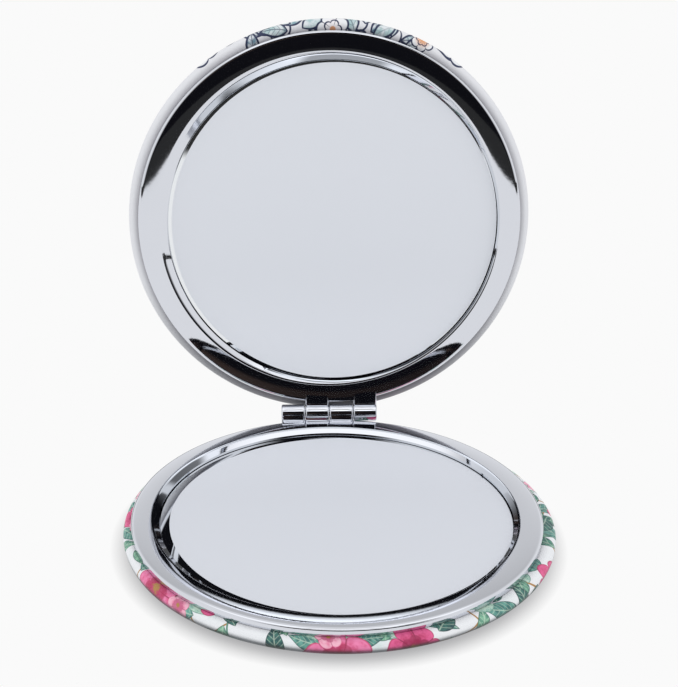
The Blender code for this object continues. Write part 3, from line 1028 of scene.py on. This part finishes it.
for half, (side, place) in HALVES.items():
    printed, shader, wire = new_material(half + "_leather", roughness=0.42, Specular_IOR_Level=0.45)
    spread_flat = wire.node("ShaderNodeAttribute", output="Vector", attribute_name="flat")
    flat = spread_flat.vector("MULTIPLY", (1.0, 1.0, 0.0))
    backwards = spread_flat.axis("Y")
    run = backwards.other("Z")
    # Painted shade and painted contact shadow, multiplied into the print's colour along the run.
    painted_shades = (
        (run.step(*HEM_RUN), HEM_PAINTED_SHADE[half]),
        (run.step(*HINGE_RUN) * backwards.step(*HINGE_REACH), HINGE_PAINTED_SHADE[half]),
        (run.step(*UNDER_RUN), UNDER_PAINTED_SHADOW[half]),
    )
    colour = PRINTS[half](flat)
    for share, shade_tint in painted_shades:
        colour = wire.mix(share, colour, shade_tint, blend="MULTIPLY")
    wire.connect(shader.inputs["Base Color"], colour)
    rub = flat.noise(RUB_PER_MM, 3.0)
    wire.connect(shader.inputs["Roughness"], LEATHER_ROUGHNESS[0] + LEATHER_ROUGHNESS[1] * rub)
    wire.connect(shader.inputs["Normal"], grain(flat))
    move = (COVER_SHIFTS[half], LIP_RADIUS, COVER_RADIUS, math.inf)
    built = off_centre(lathe(leather_section(), side), move)
    cover = add_mesh(half + "_leather", built, place, printed, smooth_deg=SHARP_SOFT_DEG)
    settle(cover, half, half + "_leather", half + "_cover")

# %% [markdown]
# ## Foam
# A thin foam disc under each cover makes it soft. It is cut from sheet and pressed by the leather, so its
# edge follows the inside of the rim. Nobody sees it unless the compact is taken apart, but it has foam's open
# cells all the same.

# %% Foam discs
foam_low, foam_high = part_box("base_padding")
FOAM_GAP = 0.02
FOAM_TOP = (PIN.z - foam_high.z) / MM + FOAM_GAP
FOAM_BACK = (PIN.z - foam_low.z) / MM - FOAM_GAP
FOAM_CLEARANCE = 0.20
FOAM_FLAT_INSET = 1.0
FOAM_TURN_STEPS = 128
FOAM_COLOURS = (paint(176, 171, 158), paint(205, 200, 188))
FOAM_WALL = paint(226, 223, 214)
FOAM_WALL_EDGE = (0.16, 0.04)
FOAM_CELLS_PER_M = 2600.0
FOAM_BUMP_DEPTH = 0.08 * MM

foam, shader, wire = new_material("foam", roughness=0.95, Specular_IOR_Level=0.2)
settings = {"Vector": own_place(wire), "Scale": FOAM_CELLS_PER_M}
cells = wire.node("ShaderNodeTexVoronoi", settings, feature="DISTANCE_TO_EDGE")
walls = cells.step(*FOAM_WALL_EDGE)
tint = wire.mix(own_place(wire).noise(150.0, 3.0), *FOAM_COLOURS)
wire.connect(shader.inputs["Base Color"], wire.mix(walls, tint, FOAM_WALL))
wire.connect(shader.inputs["Normal"], walls.bump(FOAM_BUMP_DEPTH, 0.6))


def foam_section():
    """Foam disc: flat on the plate, and pressed to the leather's rounding outside."""
    across, down = COVER_EDGE_RUN - LEATHER - FOAM_CLEARANCE, FOAM_BACK - WIDEST_DEPTH
    start = math.degrees(math.asin((FOAM_TOP - WIDEST_DEPTH) / down))
    edge = arc((COVER_RADIUS - COVER_EDGE_RUN, WIDEST_DEPTH), (across, down), start, 90, 12)
    return [(0, FOAM_TOP), (edge[0][0] - FOAM_FLAT_INSET, FOAM_TOP), *edge, (0, FOAM_BACK)]


for half, (side, place) in HALVES.items():
    turned = lathe(foam_section(), side, steps=FOAM_TURN_STEPS)
    pad = add_mesh(half + "_foam", turned, place, foam, smooth_deg=SHARP_SOFT_DEG)
    settle(pad, half, "padding", half + "_padding")

# %% [markdown]
# ## What the covers hide
# The tape, the tin trays and the pin have the right shape in the CAD, so they stay and only get their
# finishes: a crepe tape with fibres in it, tin with its faint crystals, and bright wire with lines from the
# drawing die. Fibres, rolling marks and die lines are all noise that is drawn out along one axis.

# %% Hidden finishes
FIBRES_PER_M = (300.0, 2400.0, 300.0)
ROLLING_PER_M = (60.0, 3000.0, 60.0)
DIE_LINES_PER_M = (80.0, 9000.0, 9000.0)
CRYSTALS_PER_M = 260.0


def streaks(wire, per_metre, detail):
    """Noise drawn out, with this many streaks to the metre along each axis."""
    return own_place(wire).vector("MULTIPLY", per_metre).noise(1.0, detail)


tape, shader, wire = new_material("double_sided_tape", roughness=0.6)
fibres = streaks(wire, FIBRES_PER_M, 4.0)
tape_colour = wire.mix(fibres.step(0.35, 0.65), paint(214, 212, 200), paint(240, 239, 232))
wire.connect(shader.inputs["Base Color"], tape_colour)
wire.connect(shader.inputs["Normal"], fibres.bump(0.02 * MM, 0.4))

tin, shader, wire = new_material("tin_plate", metallic=1.0)
settings = {"Vector": own_place(wire), "Scale": CRYSTALS_PER_M}
crystals = wire.node("ShaderNodeTexVoronoi", settings, output="Color")
shade = wire.node("ShaderNodeSeparateColor", {"Color": crystals})
rolling = streaks(wire, ROLLING_PER_M, 3.0)
wire.connect(shader.inputs["Base Color"], wire.mix(shade, paint(196, 198, 200), paint(214, 216, 219)))
wire.connect(shader.inputs["Roughness"], 0.22 + 0.10 * shade + 0.10 * rolling)
wire.connect(shader.inputs["Normal"], rolling.bump(0.01 * MM, 0.25))

drawn_wire, shader, wire = new_material("drawn_wire", metallic=1.0)
lines = streaks(wire, DIE_LINES_PER_M, 2.0)
wire.connect(shader.inputs["Base Color"], wire.mix(lines, paint(190, 191, 193), paint(212, 213, 216)))
wire.connect(shader.inputs["Roughness"], 0.18 + 0.18 * lines)
wire.connect(shader.inputs["Normal"], lines.bump(0.01 * MM, 0.2))

FINISHES = {"hinge_pin": drawn_wire}
for half in HALVES:
    FINISHES[half + "_mirror_tape"] = tape
    FINISHES[half + "_backing_plate"] = tin
for node, finish in FINISHES.items():
    for material_slot in frame["nodes"][node].material_slots:
        material_slot.material = finish
print("finished nodes:", ", ".join(sorted(FINISHES)))
